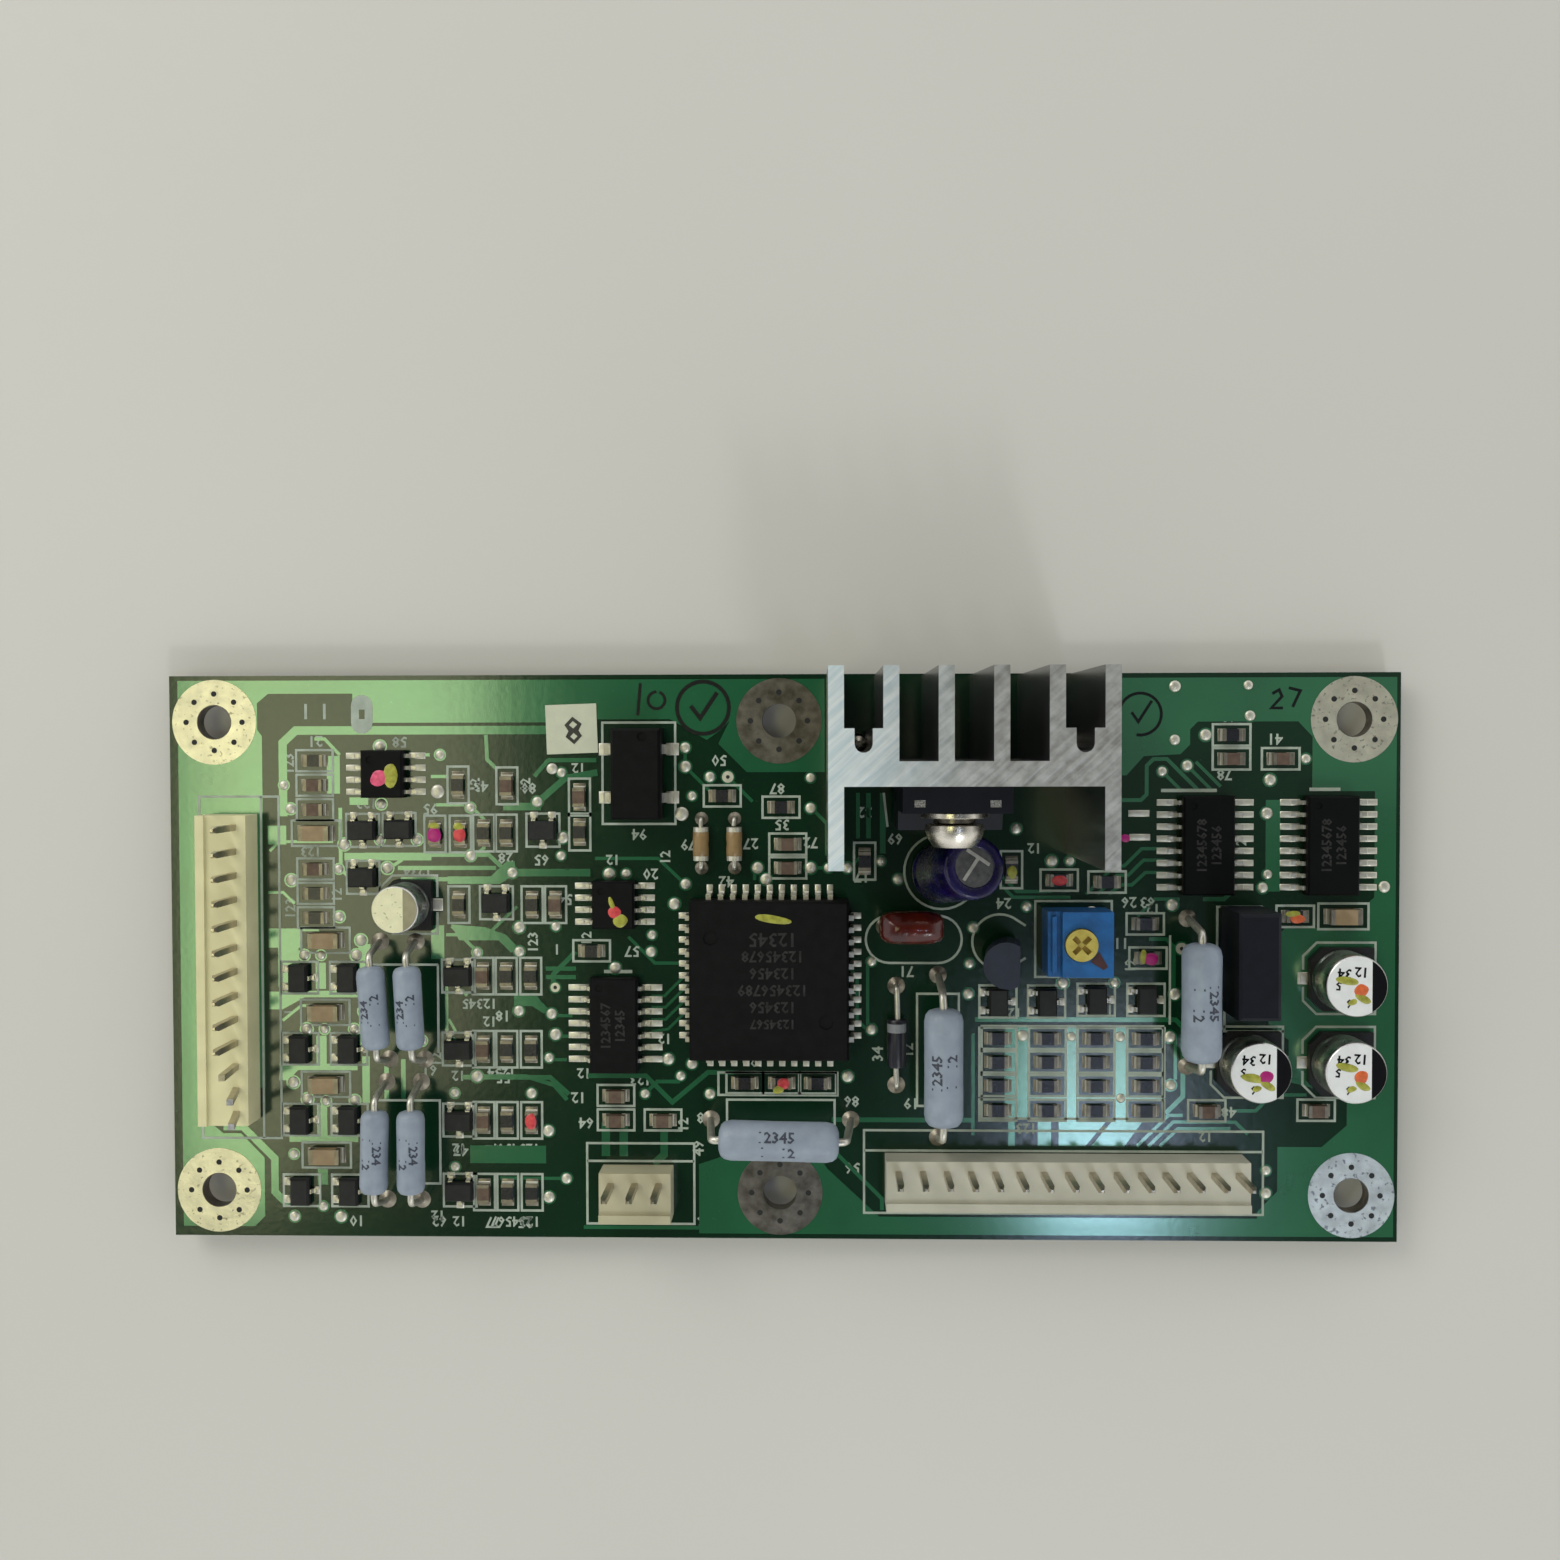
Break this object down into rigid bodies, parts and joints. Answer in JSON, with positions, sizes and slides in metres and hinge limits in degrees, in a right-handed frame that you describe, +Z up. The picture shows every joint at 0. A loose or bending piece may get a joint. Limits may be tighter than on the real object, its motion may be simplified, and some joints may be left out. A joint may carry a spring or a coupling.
{
  "type": "populated radar control circuit board",
  "caption": "Green control board with a finned heat sink, pin headers, square and two-row chips, wirewound resistors, can capacitors and a turning trimmer.",
  "frame": {"origin": "centre of the mounting-hole pattern, on the underside of the board", "axes": "+X along the long edge, +Y towards the edge that the heat sink's fins reach, +Z up from the component side"},
  "size_m": [0.1296, 0.0598, 0.0251],
  "materials": {
    "solder_mask": "green solder mask over glass laminate, semi-gloss",
    "cream_nylon": "cream moulded nylon",
    "tinned_pin": "tinned, dulled",
    "bare_aluminium": "extruded, saw-cut end",
    "zinc_steel": "zinc-plated",
    "dark_moulding": "fine matt moulded epoxy",
    "chip_moulding": "fine matt moulded epoxy",
    "tinned_lead": "tinned, soldered",
    "resistor_film": "black glaze",
    "chip_end": "tinned end",
    "capacitor_ceramic": "fired ceramic",
    "tan_ceramic": "fired ceramic",
    "blue_grey_coating": "dipped flameproof coating",
    "tan_coating": "dipped coating",
    "diode_glaze": "black moulding",
    "diode_print": "printed band",
    "can_aluminium": "drawn aluminium",
    "can_base_plastic": "moulded plastic",
    "navy_sleeve": "shrink sleeve",
    "red_brown_resin": "dipped resin",
    "blue_thermoplastic": "moulded thermoplastic",
    "yellow_plastic": "moulded plastic",
    "white_paper": "matt label"
  },
  "bodies": {
    "board": {"circuit_board": "solder_mask", "left_header_base": "cream_nylon", "front_header_base": "cream_nylon", "side_header_base": "cream_nylon", "left_header_pins": "tinned_pin", "front_header_pins": "tinned_pin", "side_header_pins": "tinned_pin", "heat_sink": "bare_aluminium", "heat_sink_screws": "zinc_steel", "regulator_screw": "zinc_steel", "regulator_washers": "zinc_steel", "regulator_body": "dark_moulding", "d_transistor_body": "dark_moulding", "module_body": "dark_moulding", "square_chip_body": "chip_moulding", "sixteen_pin_chip_bodies": "chip_moulding", "fourteen_pin_chip_bodies": "chip_moulding", "eight_pin_chip_bodies": "chip_moulding", "coupler_body": "chip_moulding", "transistor_bodies": "chip_moulding", "square_chip_leads": "tinned_lead", "sixteen_pin_chip_leads": "tinned_lead", "fourteen_pin_chip_leads": "tinned_lead", "eight_pin_chip_leads": "tinned_lead", "coupler_leads": "tinned_lead", "transistor_leads": "tinned_lead", "regulator_leads": "tinned_lead", "d_transistor_leads": "tinned_lead", "module_leads": "tinned_lead", "trimmer_leads": "tinned_lead", "small_resistor_leads": "tinned_lead", "large_resistor_leads": "tinned_lead", "tubular_leads": "tinned_lead", "tubular_caps": "tinned_lead", "diode_leads": "tinned_lead", "radial_leads": "tinned_lead", "film_capacitor_leads": "tinned_lead", "can_leads": "tinned_lead", "chip_resistor_bodies": "resistor_film", "chip_resistor_ends": "chip_end", "chip_capacitor_ends": "chip_end", "large_chip_ends": "chip_end", "chip_capacitor_bodies": "capacitor_ceramic", "large_chip_bodies": "tan_ceramic", "small_resistor_bodies": "blue_grey_coating", "large_resistor_bodies": "blue_grey_coating", "tubular_bodies": "tan_coating", "diode_body": "diode_glaze", "diode_band": "diode_print", "can_shells": "can_aluminium", "can_bases": "can_base_plastic", "radial_body": "navy_sleeve", "film_capacitor_body": "red_brown_resin", "trimmer_body": "blue_thermoplastic", "label_sticker": "white_paper"},
    "rotor": {"trimmer_rotor": "yellow_plastic"}
  },
  "joints": [
    {"name": "trimmer_turn", "type": "hinge", "parent": "board", "child": "rotor", "pos_m": [0.0309, 0.002, 0.006], "axis": [0, 0, 1], "range_deg": [-130, 130]}
  ]
}
